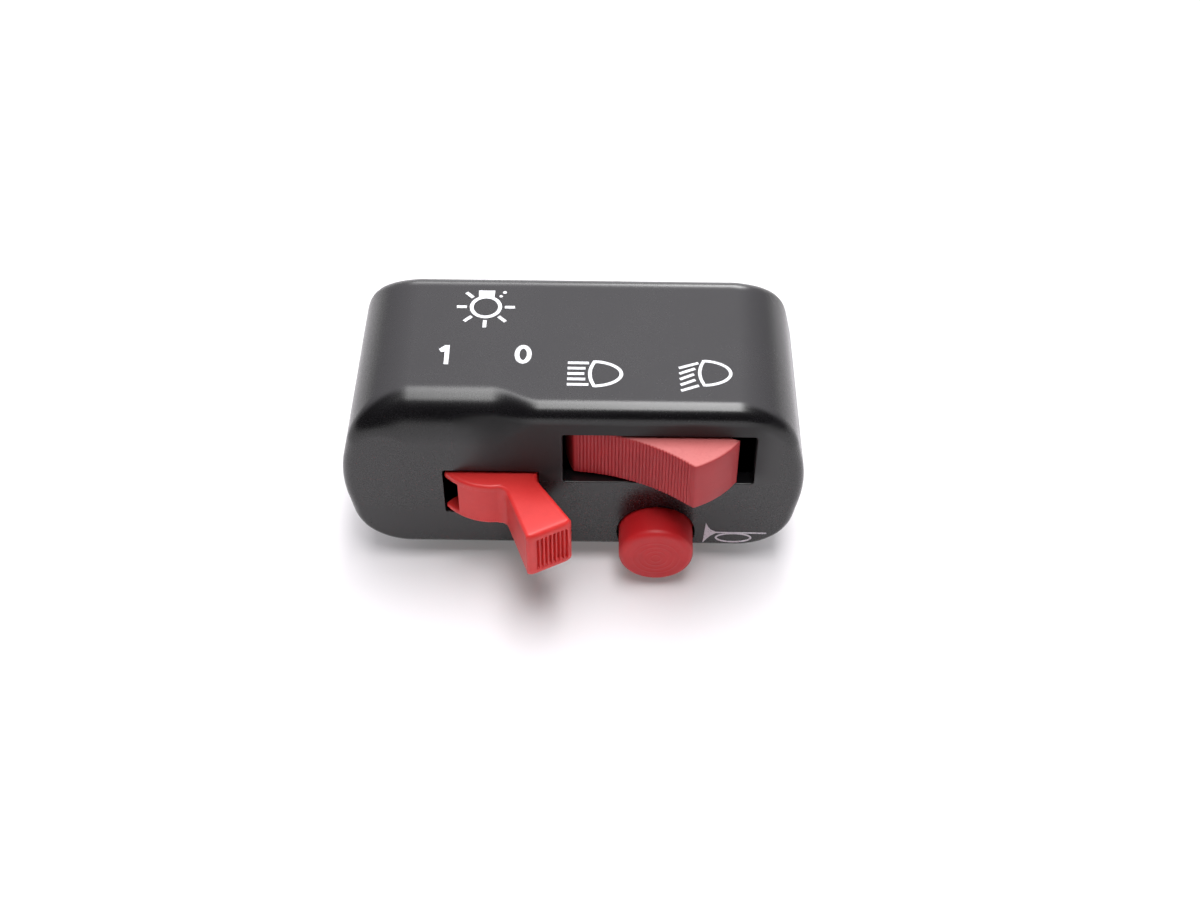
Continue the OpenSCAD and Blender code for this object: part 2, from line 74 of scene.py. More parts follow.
def fillLoops(loops):
    # triangles between closed loops of 2-D points: the first is the border, the others are holes
    pts = np.concatenate(loops)
    starts = np.cumsum([0] + [len(q) for q in loops])
    nxt = np.concatenate([np.roll(np.arange(len(q)), -1) + start for q, start in zip(loops, starts)])
    edges = np.stack([np.arange(len(pts)), nxt], axis=1)
    out = delaunay_2d_cdt([Vector(p) for p in pts.tolist()], edges.tolist(), [], 0, 1e-7, False)
    flat = np.array([tuple(v) for v in out[0]])
    tris = np.array([list(f) for f in out[2]])
    mid = flat[tris].mean(axis=1)  # a triangle stays if its middle lies inside by the even-odd rule
    a, b = pts[None], pts[nxt][None]
    crosses = (a[..., 1] > mid[:, None, 1]) != (b[..., 1] > mid[:, None, 1])
    rise = np.where(b[..., 1] == a[..., 1], 1, b[..., 1] - a[..., 1])
    atX = a[..., 0] + (mid[:, None, 1] - a[..., 1]) * (b[..., 0] - a[..., 0]) / rise
    inside = (crosses & (atX > mid[:, None, 0])).sum(axis=1) % 2 == 1
    return flat, tris[inside]


def lift(flat, d):
    # 2-D points (x, z) of a plane at depth d
    return np.stack([flat[:, 0], np.full(len(flat), d), flat[:, 1]], axis=1)


def arc(cx, cz, r, a0, a1, n):
    # n points of a circle of radius r from angle a0 to a1
    a = np.radians(np.linspace(a0, a1, n))
    return np.stack([cx + r * np.cos(a), cz + r * np.sin(a)], axis=1)


def roundRect(cx, cz, hx, hz, r, n=6):
    # rectangle of half sizes hx, hz with quarter circles of radius r at its corners
    x0, x1, z0, z1 = cx - hx + r, cx + hx - r, cz - hz + r, cz + hz - r
    return np.concatenate([arc(x1, z0, r, -90, 0, n), arc(x1, z1, r, 0, 90, n),
                           arc(x0, z1, r, 90, 180, n), arc(x0, z0, r, 180, 270, n)])


def smooth(t):
    # 0 to 1 with level ends: three t squared less two t cubed
    t = np.clip(t, 0, 1)
    return t * t * (3 - 2 * t)


def quarter(n):
    # n angles from 0 to 90 degrees
    return np.radians(np.linspace(0, 90, n))


def makePiece(name, parts, body, finish, replaced=(), sharp=40, weighted=True):
    verts, faces, start = [], [], 0
    for v, f in parts:
        verts.append(v)
        faces += (np.asarray(f) + start).tolist()
        start += len(v)
    verts = np.concatenate(verts) - np.array([0, originDepth, 0])
    mesh = bpy.data.meshes.new(name)
    mesh.from_pydata((verts * mm).tolist(), [], faces)
    bm = bmesh.new()
    bm.from_mesh(mesh)
    bmesh.ops.remove_doubles(bm, verts=bm.verts, dist=weld)
    bmesh.ops.dissolve_degenerate(bm, edges=bm.edges, dist=sliver)
    bmesh.ops.recalc_face_normals(bm, faces=bm.faces)
    bm.to_mesh(mesh)
    bm.free()
    mesh.shade_smooth()
    mesh.set_sharp_from_angle(angle=math.radians(sharp))
    piece = bpy.data.objects.new(name, mesh)
    bpy.context.scene.collection.objects.link(piece)
    if weighted:
        w = piece.modifiers.new("evenNormals", "WEIGHTED_NORMAL")
        w.keep_sharp = True
        w.weight = largeFaceWeight
    mesh.materials.append(finish)
    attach(piece, body)
    if replaced:
        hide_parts(*replaced)
    return piece


# finishes
class Val:
    # one output socket; arithmetic on it adds Math nodes
    def __init__(self, finish, socket):
        self.finish, self.socket = finish, socket

    def calc(self, op, a, b):
        return self.finish.add("ShaderNodeMath", {"operation": op}, {0: a, 1: b})

    def __add__(self, o): return self.calc("ADD", self, o)
    def __radd__(self, o): return self.calc("ADD", o, self)
    def __mul__(self, o): return self.calc("MULTIPLY", self, o)
    def __rmul__(self, o): return self.calc("MULTIPLY", o, self)


class Finish:
    # a material, or the world, whose nodes are added one by one
    def __init__(self, name, kinds=bpy.data.materials, end="ShaderNodeOutputMaterial"):
        self.mat = kinds.new(name)
        self.mat.use_nodes = True
        self.tree = self.mat.node_tree
        self.tree.nodes.clear()
        self.end = self.tree.nodes.new(end)

    def add(self, kind, settings=None, sockets=None, out=0):
        # any node: its type, its settings first, then the values or links of its sockets
        n = self.tree.nodes.new(kind)
        for key, value in (settings or {}).items():
            if key == "stops":
                ramp = n.color_ramp
                while len(ramp.elements) < len(value):
                    ramp.elements.new(0.5)
                for e, (pos, col) in zip(ramp.elements, value):
                    e.position, e.color = pos, (*col, 1)
            else:
                setattr(n, key, value)
        for key, value in (sockets or {}).items():
            if isinstance(value, Val):
                self.tree.links.new(value.socket, n.inputs[key])
            else:
                n.inputs[key].default_value = value
        return Val(self, n.outputs[out])

    def place(self):
        return self.add("ShaderNodeTexCoord", out="Object")

    def axis(self, vector, letter):
        return self.add("ShaderNodeSeparateXYZ", None, {"Vector": vector}, letter)

    def noise(self, scale, detail=3, rough=0.5):
        return self.add("ShaderNodeTexNoise", None, {"Vector": self.place(), "Scale": scale, "Detail": detail,
                                                     "Roughness": rough}, "Fac")

    def fade(self, value, zero, one):
        # smooth step from 0 at one value to 1 at another
        return self.add("ShaderNodeMapRange", {"interpolation_type": "SMOOTHSTEP"},
                        {"Value": value, "From Min": zero, "From Max": one}, "Result")

    def band(self, value, edges):
        # 1 between the two middle values, fading to 0 at the outer two
        start, full, last, gone = edges
        return self.fade(value, start, full) * self.fade(value, gone, last)

    def ramp(self, value, stops):
        return self.add("ShaderNodeValToRGB", {"stops": stops}, {"Fac": value}, "Color")

    def bump(self, height, strength, distance):
        return self.add("ShaderNodeBump", None, {"Height": height, "Strength": strength, "Distance": distance},
                        "Normal")

    def show(self, shader):
        self.tree.links.new(shader.socket, self.end.inputs["Surface"])
        return self.mat

    def surface(self, sockets):
        return self.show(self.add("ShaderNodeBsdfPrincipled", None, sockets, "BSDF"))


blackLook = {"dark": (0.0044, 0.0040, 0.0047), "light": (0.0072, 0.0066, 0.0077), "rough": 0.22, "ior": 1.55,
             "duller": 0.4, "dullX": (-0.017, -0.010, 0.024, 0.029), "dullY": (-0.0165, -0.0185),
             "dullZ": (0.0135, 0.0170, 0.0252, 0.0262)}
# pale, upFrom and upTo set the painted sheen that lightens the upward faces of the red parts
redLook = {"pale": (0.86, 0.34, 0.32, 1), "ior": 1.45, "upFrom": 0.55, "upTo": 1.15}


def blackPlastic():
    # satin, with a duller field on the front face, above the rocker and left of it
    f, look = Finish("satinBlackPlastic"), blackLook
    grain = f.noise(2600, 2, 0.6)
    cloud = f.noise(60, 4, 0.55)
    dust = f.noise(900, 5, 0.7)
    tone = f.ramp(cloud * 0.75 + dust * 0.25, [(0.3, look["dark"]), (0.7, look["light"])])
    spot = f.place()
    brow = f.band(f.axis(spot, "X"), look["dullX"]) * f.band(f.axis(spot, "Z"), look["dullZ"]) \
        * f.fade(f.axis(spot, "Y"), *look["dullY"])
    rough = look["rough"] + cloud * 0.06 + grain * 0.04 + brow * look["duller"]
    return f.surface({"Base Color": tone, "Roughness": rough, "IOR": look["ior"],
                      "Normal": f.bump(grain, 0.05, 0.00004)})


def redPlastic(name, dark, light, rough, upwardSheen):
    # the last argument sets how much paler the upward faces are painted: a painted sheen standing in for the
    # light from above
    f = Finish(name)
    grain = f.noise(2200, 2, 0.6)
    cloud = f.noise(140, 4, 0.6)
    tone = f.ramp(cloud * 0.8 + grain * 0.2, [(0.28, dark), (0.72, light)])
    lookUp = f.axis(f.add("ShaderNodeTexCoord", out="Normal"), "Z")
    # painted sheen: faces turned up are mixed towards pale pink, a highlight painted in for the light from above
    paintedSheen = f.add("ShaderNodeMapRange", {"clamp": True}, {
        "Value": lookUp + grain * 0.3, "From Min": redLook["upFrom"], "From Max": redLook["upTo"],
        "To Max": upwardSheen}, "Result")
    tone = f.add("ShaderNodeMix", {"data_type": "RGBA"},
                 {"Factor": paintedSheen, "A": tone, "B": redLook["pale"]}, "Result")
    return f.surface({"Base Color": tone, "Roughness": rough + cloud * 0.1, "IOR": redLook["ior"],
                      "Normal": f.bump(grain, 0.12, 0.00004)})


def printInk(name, worn, full):
    f = Finish(name)
    speck = f.noise(3800, 3, 0.7)
    tone = f.ramp(speck, [(0.30, worn), (0.46, full)])
    return f.surface({"Base Color": tone, "Roughness": 0.55 + speck * 0.15})


def basePlastic():
    f = Finish("contactBasePlastic")
    fleck = f.noise(1100, 5, 0.7)
    tone = f.ramp(fleck, [(0.3, (0.030, 0.020, 0.014)), (0.7, (0.075, 0.050, 0.034))])
    return f.surface({"Base Color": tone, "Roughness": 0.5 + fleck * 0.2, "Normal": f.bump(fleck, 0.15, 0.00005)})


def metal(name, dark, light, rough):
    f = Finish(name)
    lines = f.noise(1500, 4, 0.6)
    tone = f.ramp(lines, [(0.3, dark), (0.7, light)])
    return f.surface({"Base Color": tone, "Metallic": 1.0, "Roughness": rough + lines * 0.15,
                      "Normal": f.bump(lines, 0.1, 0.00003)})


finishes = {
    "black": blackPlastic(),
    # the last number of each red is the painted sheen on its upward faces
    "leverRed": redPlastic("leverRedPlastic", (0.62, 0.020, 0.019), (0.74, 0.036, 0.033), 0.36, 0.0),
    "rockerRed": redPlastic("rockerRedPlastic", (0.37, 0.014, 0.018), (0.46, 0.024, 0.029), 0.46, 0.40),
    "buttonRed": redPlastic("buttonRedPlastic", (0.50, 0.010, 0.014), (0.60, 0.018, 0.022), 0.42, 0.0),
    "white": printInk("whitePrint", (0.55, 0.55, 0.57), (0.81, 0.81, 0.845)),
    "grey": printInk("greyPrint", (0.32, 0.30, 0.33), (0.62, 0.575, 0.625)),
    "base": basePlastic(),
    "brass": metal("contactBrass", (0.50, 0.34, 0.12), (0.72, 0.52, 0.22), 0.28),
    "steel": metal("springSteel", (0.45, 0.46, 0.47), (0.62, 0.63, 0.64), 0.25),
}
print("finishes made")

# camera: place as (x, d, z), angles in degrees, focal length in pixels of the frame
cameraFit = {"place": (5.8397, -164.0329, 205.2620), "yaw": -0.725, "pitch": 48.391, "roll": 0.189,
             "focal": 1807.346, "frameWidth": 1200, "sensor": 36, "clip": (0.01, 10)}
yaw, pitch, roll = (math.radians(cameraFit[k]) for k in ("yaw", "pitch", "roll"))
ahead = Vector((math.sin(yaw) * math.cos(pitch), math.cos(yaw) * math.cos(pitch), -math.sin(pitch)))
side = Vector((math.cos(yaw), -math.sin(yaw), 0))
upward = side.cross(ahead)
right = side * math.cos(roll) + upward * math.sin(roll)
top = upward * math.cos(roll) - side * math.sin(roll)
stand = Vector(cameraFit["place"]) - Vector((0, originDepth, 0))
camera = bpy.data.objects.new("camera", bpy.data.cameras.new("camera"))
bpy.context.scene.collection.objects.link(camera)
camera.matrix_world = Matrix.Translation(stand * mm) @ Matrix((right, top, -ahead)).transposed().to_4x4()
camera.data.sensor_width = cameraFit["sensor"]
camera.data.lens = cameraFit["focal"] / cameraFit["frameWidth"] * cameraFit["sensor"]
camera.data.clip_start, camera.data.clip_end = cameraFit["clip"]
bpy.context.scene.camera = camera
print("camera placed")

# housing: the outline's circles are (x, z, radius), front rolls are (back, down) and blends (start, span) in
# degrees
shell = {"low": (23.4, 8.2, 8.2), "mid": (12.5, 13.2, 19.8), "top": (22.2, 18.8, 9.1), "height": 27.9,
         "depth": 27.9, "wall": 2.2, "mouth": 22.4, "frontRoll": (2.6, 2.6), "scoopRoll": (4.9, 6.9),
         "scoopAt": (-11.0, -4.4), "sideRoll": 1.7, "rimRoll": 0.8, "rearRoll": 1.0, "topRearRoll": 3.4,
         "taper": 0.5, "taperRun": 9, "lip": 0.16, "sideBlend": (-45, 60), "topBlend": (14, 70),
         "rearBlend": (20, 62), "midRow": 12.0, "edgeStep": 0.4, "slotRows": (0.8, 1.5)}
shellSteps = {"low": 16, "mid": 14, "top": 24, "flat": 12, "change": 16, "scoop": 8, "roll": 13, "rear": 9,
              "rim": 8, "rearRim": 18, "notch": 40, "lip": 5}
leverSlot = {"x": -11.45, "z": 11.35, "halfX": 6.62, "halfZ": 4.4, "corner": 0.35, "pivotD": 6.3, "relief": 9.15}
rockerSlot = {"x": 11.87, "z": 18.6, "halfX": 13.3, "halfZ": 4.8, "corner": 0.4}
buttonHole = {"x": 11.8, "z": 2.94, "r": 5.65}


def tangentAngle(a, b):
    # direction of the line that touches two circles on their outer side
    dx, dz = b[0] - a[0], b[1] - a[1]
    return math.degrees(math.atan2(dz, dx) - math.acos((a[2] - b[2]) / math.hypot(dx, dz)))


def outlineRun(inset):
    # from the mouth's right edge over the top to its left edge: points and outward angles, drawn in by inset
    a1, a2 = tangentAngle(shell["low"], shell["mid"]), tangentAngle(shell["mid"], shell["top"])
    pts, angs = [np.array([[shell["mouth"], 0.0]])], [np.array([-90.0])]
    for key, b0, b1 in (("low", -90, a1), ("mid", a1, a2), ("top", a2, 90)):
        pts.append(arc(*shell[key], b0, b1, shellSteps[key]))
        angs.append(np.linspace(b0, b1, shellSteps[key]))
    half, halfAng = np.concatenate(pts), np.concatenate(angs)
    topX, (x0, x1) = shell["top"][0], shell["scoopAt"]
    flatX = np.concatenate([np.linspace(topX, x1, shellSteps["flat"])[1:],
                            np.linspace(x1, x0, shellSteps["change"])[1:],
                            np.linspace(x0, -topX, shellSteps["scoop"])[1:-1]])
    flat = np.stack([flatX, np.full(len(flatX), shell["height"])], axis=1)
    run = np.concatenate([half, flat, half[::-1] * [-1, 1]])
    ang = np.concatenate([halfAng, np.full(len(flat), 90.0), 180 - halfAng[::-1]])
    n = np.stack([np.cos(np.radians(ang)), np.sin(np.radians(ang))], axis=1)
    return run - np.reshape(inset, (-1, 1)) * n, ang


def blend(ang, key):
    # 0 low on the sides to 1 at the top, by the outline's outward angle
    start, span = shell[key]
    return smooth((np.minimum(ang, 180 - ang) - start) / span)


def rollRadius(x, ang, way):
    # how far the front edge rolls back (way 0) and down (way 1): small along the rim, soft down the sides,
    # full over the top and deeper above the lever
    front, scoop = shell["frontRoll"][way], shell["scoopRoll"][way]
    x0, x1 = shell["scoopAt"]
    topRoll = front + (scoop - front) * (1 - smooth((x - x0) / (x1 - x0)))
    sideRoll = shell["rimRoll"] + (shell["sideRoll"] - shell["rimRoll"]) * blend(ang, "sideBlend")
    return sideRoll + (topRoll - sideRoll) * blend(ang, "topBlend")


def notchHalf(z):
    # half width of the button's notch at level z
    return np.sqrt(buttonHole["r"] ** 2 - (buttonHole["z"] - z) ** 2)


def rimRun(z, rightSide):
    # rim between the mouth's edge and the button's notch at level z
    s, n = 1 if rightSide else -1, shellSteps["rim"]
    x = np.linspace(buttonHole["x"] + s * notchHalf(z), s * shell["mouth"], n)
    run = np.stack([x, np.full(n, z)], axis=1)
    return run if rightSide else run[::-1]


def notchArc(z):
    # over the button from the notch's left corner to its right one
    a0 = math.degrees(math.asin((z - buttonHole["z"]) / buttonHole["r"]))
    return arc(buttonHole["x"], buttonHole["z"], buttonHole["r"], 180 - a0, a0, shellSteps["notch"])


def leverHalf(d):
    # the lever's slot widens inwards to clear the turning shutter
    clear = leverSlot["relief"] ** 2 - (leverSlot["pivotD"] - d) ** 2
    return max(leverSlot["halfX"], math.sqrt(max(clear, 0)))


def rollLevels(r, n):
    # quarter circle of radius r as (step in, depth)
    return [(r * (1 - math.sin(t)), r * (1 - math.cos(t))) for t in quarter(n)]


def slotWall(slot, halfX):
    # levels from the rounded lip at the front face to the inner face
    levels = rollLevels(shell["lip"], shellSteps["lip"]) + [(0, d) for d in (*shell["slotRows"], shell["wall"])]
    return [(d, roundRect(slot["x"], slot["z"], halfX(d) + o, slot["halfZ"] + o, slot["corner"] + o))
            for o, d in levels]


def housingParts():
    # rings of the outline from the front face over the sides to the rear, filled faces, slots and the inner shell
    depth, wall, rim = shell["depth"], shell["wall"], shellSteps["rim"] - 1
    base, ang = outlineRun(0)
    roll, drop = rollRadius(base[:, 0], ang, 0), rollRadius(base[:, 0], ang, 1)
    parts, rings = [], []
    for a in quarter(shellSteps["roll"]):  # front edge: quarter of an ellipse of the two local rolls
        inset, d = drop * (1 - np.sin(a)), roll * (1 - np.cos(a))
        run, z = outlineRun(inset)[0], shell["rimRoll"] * (1 - math.sin(a))
        ring = np.concatenate([rimRun(z, True)[:-1], run, rimRun(z, False)[1:]])
        ds = np.concatenate([np.full(rim, d[0]), d, np.full(rim, d[-1])])
        rings.append(np.stack([ring[:, 0], ds, ring[:, 1]], axis=1))
    parts.append(surface(np.array(rings)))
    rearRoll = shell["rearRoll"] + (shell["topRearRoll"] - shell["rearRoll"]) * blend(ang, "rearBlend")
    rowDepths = (roll, np.maximum(roll + shell["edgeStep"], wall), np.full(len(roll), shell["midRow"]),
                 depth - np.maximum(rearRoll + shell["edgeStep"], wall), depth - rearRoll)
    parts.append(surface(np.array([np.stack([base[:, 0], d, base[:, 1]], axis=1) for d in rowDepths])))
    n = shellSteps["rearRim"]
    rearX = np.linspace(-shell["mouth"], shell["mouth"], n + 2)[1:-1]
    rearFoot = np.stack([rearX, np.zeros(n)], axis=1)
    rear = []
    for a in quarter(shellSteps["rear"])[::-1]:  # rear edge: quarter circle all round, larger over the top
        low = np.stack([rearX, np.full(n, shell["rearRoll"] * (1 - math.sin(a)))], axis=1)
        run = np.concatenate([outlineRun(rearRoll * (1 - math.sin(a)))[0], low])
        ds = depth - np.concatenate([rearRoll, np.full(n, shell["rearRoll"])]) * (1 - math.cos(a))
        rear.append(np.stack([run[:, 0], ds, run[:, 1]], axis=1))
    parts.append(surface(np.array(rear), closeV=True))
    flat, tris = fillLoops([rear[-1][:, [0, 2]]])
    parts.append((lift(flat, depth), tris))
    strip = np.concatenate([[[-shell["mouth"], 0]], rearFoot, [[shell["mouth"], 0]]])
    parts.append(surface(np.array([lift(strip, depth - shell["rearRoll"]), lift(strip, depth - wall)])))
    for isRight in (True, False):
        foot = rimRun(0, isRight)
        parts.append(surface(np.array([lift(foot, shell["rimRoll"]), lift(foot, wall)])))
    leverRings = slotWall(leverSlot, leverHalf)
    rockerRings = slotWall(rockerSlot, lambda d: rockerSlot["halfX"])
    for wallRings in (leverRings, rockerRings):
        parts.append(surface(np.array([lift(loop, d) for d, loop in wallRings]), closeV=True))
    border = np.concatenate([rings[0][:, [0, 2]], notchArc(shell["rimRoll"])[1:-1]])
    flat, tris = fillLoops([border, leverRings[0][1], rockerRings[0][1]])
    parts.append((lift(flat, 0), tris))
    levels = rollLevels(shell["rimRoll"], shellSteps["roll"]) + [(0, wall)]
    # the notch's wall follows the rolled rim at its two feet
    parts.append(surface(np.array([lift(notchArc(z), d) for z, d in levels])))
    foot = np.array([[shell["mouth"], 0.0]])
    inner = np.concatenate([foot, outlineRun(wall)[0], foot * [-1, 1]])
    parts.append(surface(np.array([lift(inner, wall), lift(inner, depth - wall)])))
    border = np.concatenate([rimRun(0, True)[:-1], inner, rimRun(0, False)[1:], notchArc(0)[1:-1]])
    flat, tris = fillLoops([border, leverRings[-1][1], rockerRings[-1][1]])
    parts.append((lift(flat, wall), tris))
    flat, tris = fillLoops([np.concatenate([inner, rearFoot])])
    parts.append((lift(flat, depth - wall), tris))
    for v, f in parts:  # slight draft towards the rear
        share = np.clip((np.abs(v[:, 0]) - shell["mouth"]) / shell["taperRun"], 0, 1) * v[:, 1] / depth
        v[:, 0] -= np.sign(v[:, 0]) * shell["taper"] * share
    return parts


# sleeves under the roof: clips are (x, d, outer, inner, blind), pivots (x, d, foot, blind)
bossSize = {"x": 20.0, "outer": 3.6, "inner": 2.6, "top": 25.75, "floor": 11.5, "d": 20.0}
postSize = {"roof": 25.75, "plate": 2.2, "clip": (8.5, 22.1, 2.3, 0.95, 12.0), "hub": 3.0, "pin": 1.52,
            "lever": (-11.45, 6.3, 15.75, 24.7), "rocker": (11.85, 7.3, 23.4, 26.6), "cover": 0.2, "broken": 0.15}


def lathe(profile, n=48):
    # closed or pole-to-pole profile (radius, level) turned about a vertical axis
    a = np.linspace(0, 2 * np.pi, n, endpoint=False)
    r, z = np.asarray(profile, float).T
    return np.stack([r[None] * np.cos(a)[:, None], r[None] * np.sin(a)[:, None],
                     np.broadcast_to(z, (n, len(z)))], axis=-1)


def tube(outer, inner, z0, z1, blind):
    # closed sleeve with a blind bore up to the level blind and a small broken edge at its mouth
    e = postSize["broken"]
    return lathe([(0, blind), (inner, blind), (inner, z0 + e), (inner + e, z0), (outer - e, z0),
                  (outer, z0 + e), (outer, z1), (0, z1)])


def bossParts():
    b, q = bossSize, postSize
    parts = []
    for s in (-1, 1):
        parts.append((tube(b["outer"], b["inner"], 0, b["top"], b["floor"]), (s * b["x"], b["d"])))
        x, d, outer, inner, blind = q["clip"]
        parts.append((tube(outer, inner, q["plate"], q["roof"], blind), (s * x, d)))
    for key in ("lever", "rocker"):
        x, d, z0, blind = q[key]
        parts.append((tube(q["hub"], q["pin"], z0, max(q["roof"], blind + q["cover"]), blind), (x, d)))
    return [surface(p + np.array([x, d, 0]), closeU=True) for p, (x, d) in parts]


makePiece("housingShell", housingParts() + bossParts(), "block", finishes["black"],
          ["housing"], 32)
print("housing made")

# light lever
lever = {"x": -11.45, "d": 6.3, "z": 7.4, "h": 7.9, "r": 8.8, "skin": 1.2, "half": 59.5, "plateHalf": 75,
         "plateInner": 2.6, "inset": 0.6, "broken": 0.15, "edge": 0.5, "turn": 28, "reach": 18.4, "flare": 0.75,
         "tipHalf": 3.45, "rootHalf": 2.3, "fillet": 1.5, "tipRound": 0.75, "tipCorner": 0.45, "root": 8.12,
         "bendTo": 9.9, "flankFrom": 10.2, "proud": 0.02, "grooves": 8, "groovePitch": 0.62, "grooveHalf": 0.17,
         "grooveDeep": 0.5, "grooveHigh": 2.75, "grooveShift": 0.25, "grooveSoft": 0.12, "grooveEnd": 0.2}
leverSteps = {"bend": 81, "edge": 8, "around": 420, "fillet": 24, "flank": 12, "tip": 9, "end": 55}
# bars inside the controls: half width, then from and to along the depth
hub = {"bore": 1.55, "r": 3.0, "broken": 0.2}
tailBar, leverWeb, rockerWeb = (2.2, 2.7, 8.8), (1.2, -8.0, -2.7), (3.0, -3.6, -1.6)
barGap, webGap = 0.02, 0.3  # how far they stay below the top and above the bottom


def turned(points, x, d, z, turn):
    # from a control's own frame (front towards -y) to its place
    c, s = math.cos(math.radians(turn)), math.sin(math.radians(turn))
    return np.stack([x + c * points[..., 0] - s * points[..., 1], d + s * points[..., 0] + c * points[..., 1],
                     z + points[..., 2]], axis=-1)


def shutterParts():
    # curved wall as a slab bent round the pivot, and above and below it the longer plates with a rolled edge
    r, h, k, e, b = (lever[key] for key in ("r", "h", "skin", "edge", "broken"))
    near, low, high = lever["plateInner"], lever["inset"], h - lever["inset"]
    wall = np.array([[r, low], [r, high], [r - k, high], [r - k, low]])
    upper = np.concatenate([[[near, h]], arc(r - e, h - e, e, 90, 0, leverSteps["edge"]),
                            [[r, h - k + b], [r - b, h - k], [near, h - k]]])
    lower = np.stack([upper[:, 0], h - upper[:, 1]], axis=1)
    n, parts = leverSteps["bend"], []
    for prof, half in ((wall, lever["half"]), (upper, lever["plateHalf"]), (lower, lever["plateHalf"])):
        a = np.radians(np.linspace(-half, half, n))[:, None]
        p = np.stack([prof[None, :, 0] * np.sin(a), -prof[None, :, 0] * np.cos(a),
                      np.broadcast_to(prof[:, 1], (n, len(prof)))], axis=-1)
        flat, tris = fillLoops([prof])
        nearest = ((prof[None] - flat[:, None]) ** 2).sum(axis=-1).argmin(axis=1)
        parts += [surface(p, closeV=True), (p[0], nearest[tris]), (p[-1], nearest[tris])]
    return parts


def grooveDepth(x, z):
    # upright grooves in the end of the grip
    n, step, soft = lever["grooves"], lever["groovePitch"], lever["grooveSoft"]
    x = (x - lever["grooveShift"]) / step + (n - 1) / 2
    off = np.abs(x - np.clip(np.round(x), 0, n - 1)) * step
    across = 1 - smooth((off - lever["grooveHalf"] + soft / 2) / soft)
    along = 1 - smooth((np.abs(z - lever["h"] / 2) - lever["grooveHigh"]) / lever["grooveEnd"])
    return lever["grooveDeep"] * across * along


def gripHalf(s):
    # straight flanks that meet the shutter in a fillet touching both
    r, rf, root = lever["r"], lever["fillet"], lever["rootHalf"]
    slope = (lever["tipHalf"] - root) / (lever["reach"] - r)
    cs = r
    for i in range(20):  # the fillet's centre settles on both
        cx = root + slope * (cs - r) + rf * math.hypot(1, slope)
        cs = math.sqrt((r + rf) ** 2 - cx ** 2)
    s0, s1 = cs * r / (r + rf), cs + rf * slope / math.hypot(1, slope)
    bend = cx - math.sqrt(max(rf ** 2 - (np.clip(s, s0, s1) - cs) ** 2, 0))
    return bend if s < s1 else root + slope * (s - r)


def ringAt(hx, hz, r, n):
    # rounded rectangle sampled at n even steps of its length
    loop = roundRect(0, 0, hx, hz, r, 10)
    loop = np.concatenate([loop, loop[:1]])
    run = np.concatenate([[0], np.cumsum(np.hypot(*np.diff(loop, axis=0).T))])
    s = np.linspace(0, run[-1], n, endpoint=False)
    return np.stack([np.interp(s, run, loop[:, 0]), np.interp(s, run, loop[:, 1])], axis=1)


def gripParts():
    # rounded-rectangle sections along the grip, a rolled end, then rings closing in over the grooved end face
    n, ends, reach, tip = leverSteps["around"], leverSteps["end"], lever["reach"], lever["tipRound"]
    cz, hz = lever["h"] / 2, lever["h"] / 2 + lever["proud"]
    along = np.concatenate([np.linspace(lever["root"], lever["bendTo"], leverSteps["fillet"]),
                            np.linspace(lever["flankFrom"], reach - tip, leverSteps["flank"])])
    rows = [(s, ringAt(gripHalf(s), hz, lever["edge"], n)) for s in along]
    for a in quarter(leverSteps["tip"])[1:]:
        e = tip * (1 - math.cos(a))
        corner = lever["edge"] + lever["tipCorner"] * math.sin(a)
        rows.append((reach - tip + tip * math.sin(a), ringAt(lever["tipHalf"] - e, hz - e, corner, n)))
    p = np.array([np.stack([ring[:, 0], np.full(n, -s), cz + ring[:, 1]], axis=1) for s, ring in rows])
    last = rows[-1][1]
    share = np.linspace(1, 0, ends + 1)[1:, None]
    end = np.stack([share * last[None, :, 0], np.full((ends, n), -reach), cz + share * last[None, :, 1]], axis=-1)
    end[..., 1] += grooveDepth(end[..., 0], end[..., 2])
    start = np.stack([np.zeros(n), np.full(n, -lever["root"]), np.full(n, cz)], axis=1)[None]
    pts = np.concatenate([start, p, end])
    out = np.clip((-pts[..., 1] - lever["r"]) / (reach - lever["r"]), 0, 1)
    pts[..., 2] -= lever["flare"] * out * (1 - pts[..., 2] / lever["h"])  # the underside drops towards the tip
    return [surface(pts, closeV=True)]


def barParts(bar, z0, z1, edge=0.25, n=64, tiny=0.001):
    # closed bar along y with rounded long edges and softly closed ends
    hx, y0, y1 = bar
    half, rows = (z1 - z0) / 2, []
    for y, e in ((y0, hx), (y0, edge), (y0 + edge, 0), (y1 - edge, 0), (y1, edge), (y1, hx)):
        ring = ringAt(max(hx - e, tiny), max(half - min(e, half), tiny), tiny / 2 if e else edge, n)
        rows.append(np.stack([ring[:, 0], np.full(n, y), (z0 + z1) / 2 + ring[:, 1]], axis=1))
    return surface(np.array(rows), closeV=True)


def hubParts(h):
    # sleeve round the pivot pin
    bore, r, e = hub["bore"], hub["r"], hub["broken"]
    return surface(lathe([(bore, 0.0), (r - e, 0.0), (r, e), (r, h - e), (r - e, h), (bore, h)]),
                   closeU=True, closeV=True)


def placed(parts, c):
    return [(turned(v, c["x"], c["d"], c["z"], c["turn"]), f) for v, f in parts]


leverParts = shutterParts() + gripParts() + [hubParts(lever["h"]), barParts(tailBar, barGap, lever["h"] - barGap),
                                             barParts(leverWeb, webGap, lever["h"] - webGap)]
makePiece("lightLever", placed(leverParts, lever), "lever", finishes["leverRed"],
          ["light_lever"], 50)
print("lever made")

